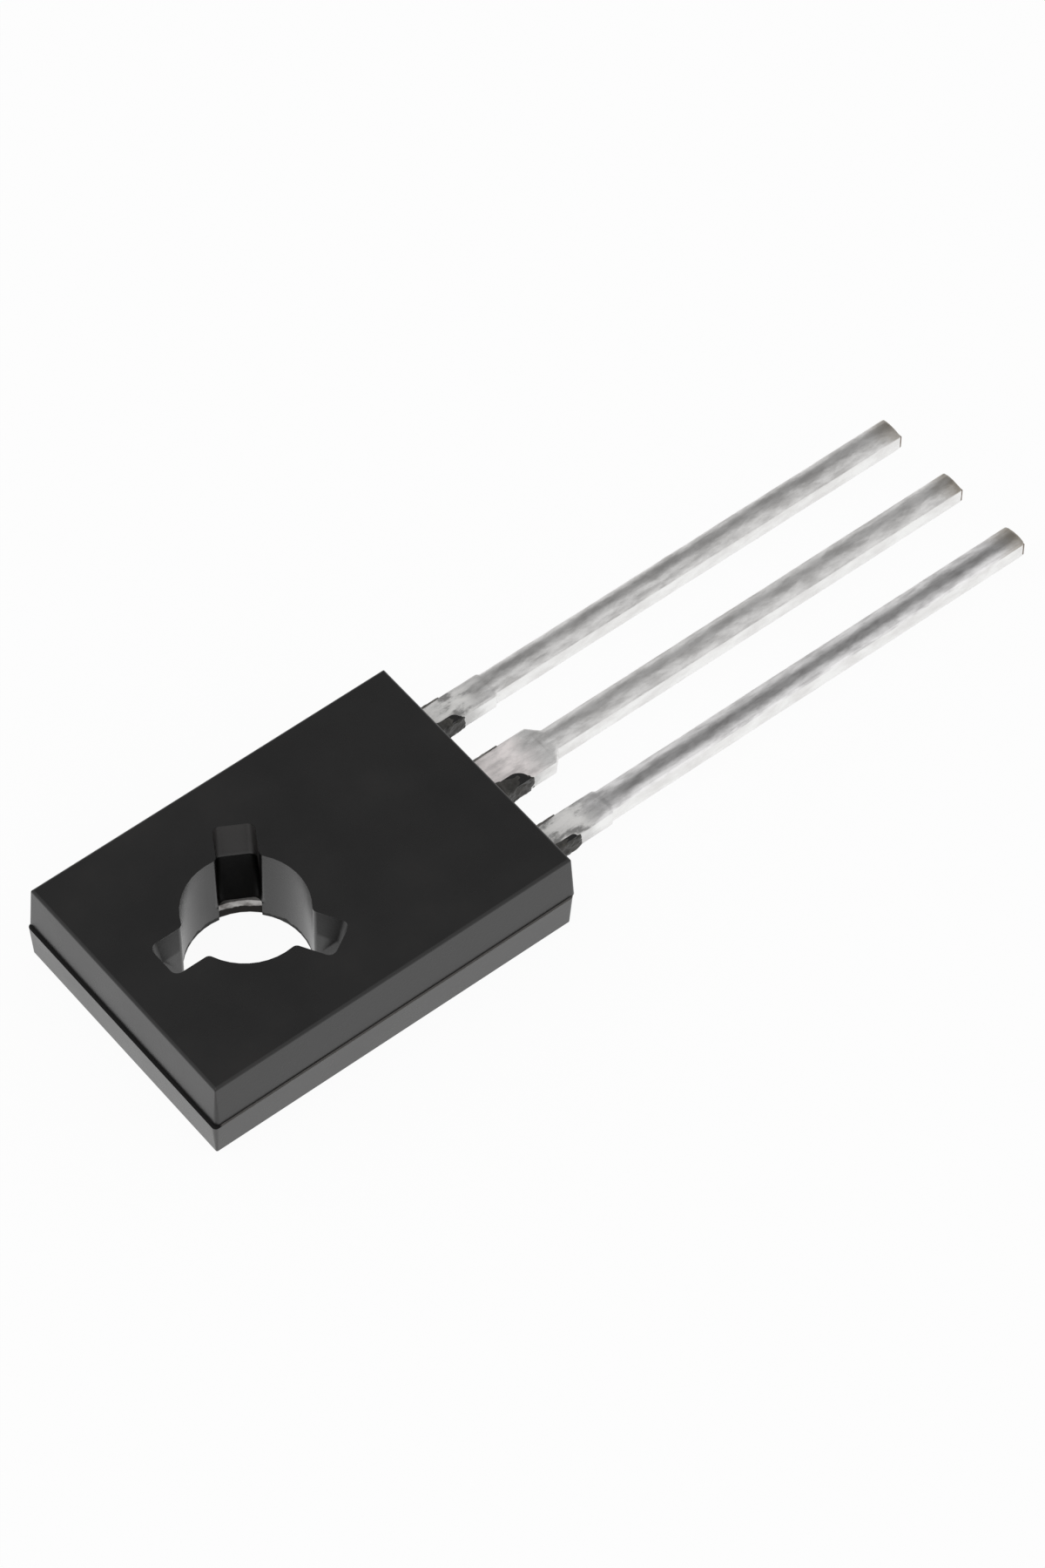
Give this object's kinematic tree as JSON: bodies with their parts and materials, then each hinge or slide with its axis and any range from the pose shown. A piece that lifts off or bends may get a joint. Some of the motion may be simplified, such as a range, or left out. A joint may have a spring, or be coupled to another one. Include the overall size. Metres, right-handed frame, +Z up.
{
  "type": "npn power transistor",
  "caption": "Black epoxy-moulded power transistor with a screw hole, a tinned heat-sink pad underneath and straight tinned leads.",
  "frame": {"origin": "screw hole's axis on the mounting face, which is the underside with the metal pad", "axes": "+X along the leads from the screw hole to the tips, +Y across the leads from emitter to base, +Z up out of the mounting face, along the screw hole"},
  "size_m": [0.0265, 0.0076, 0.0025],
  "materials": {
    "epoxy": "satin black moulded epoxy, sharp-edged",
    "tinned_copper": "stamped copper strip under dull, streaky tin plate, copper showing at the sheared tips",
    "silicon": "dark polished silicon with metal bond pads",
    "solder": "dull lead-rich solder",
    "bond_aluminium": "drawn aluminium wire"
  },
  "bodies": {
    "root": {"body_moulding": "epoxy", "collector_frame": "tinned_copper", "emitter_lead": "tinned_copper", "base_lead": "tinned_copper", "silicon_die": "silicon", "die_solder": "solder", "emitter_bond_wire": "bond_aluminium", "base_bond_wire": "bond_aluminium"}
  },
  "joints": []
}
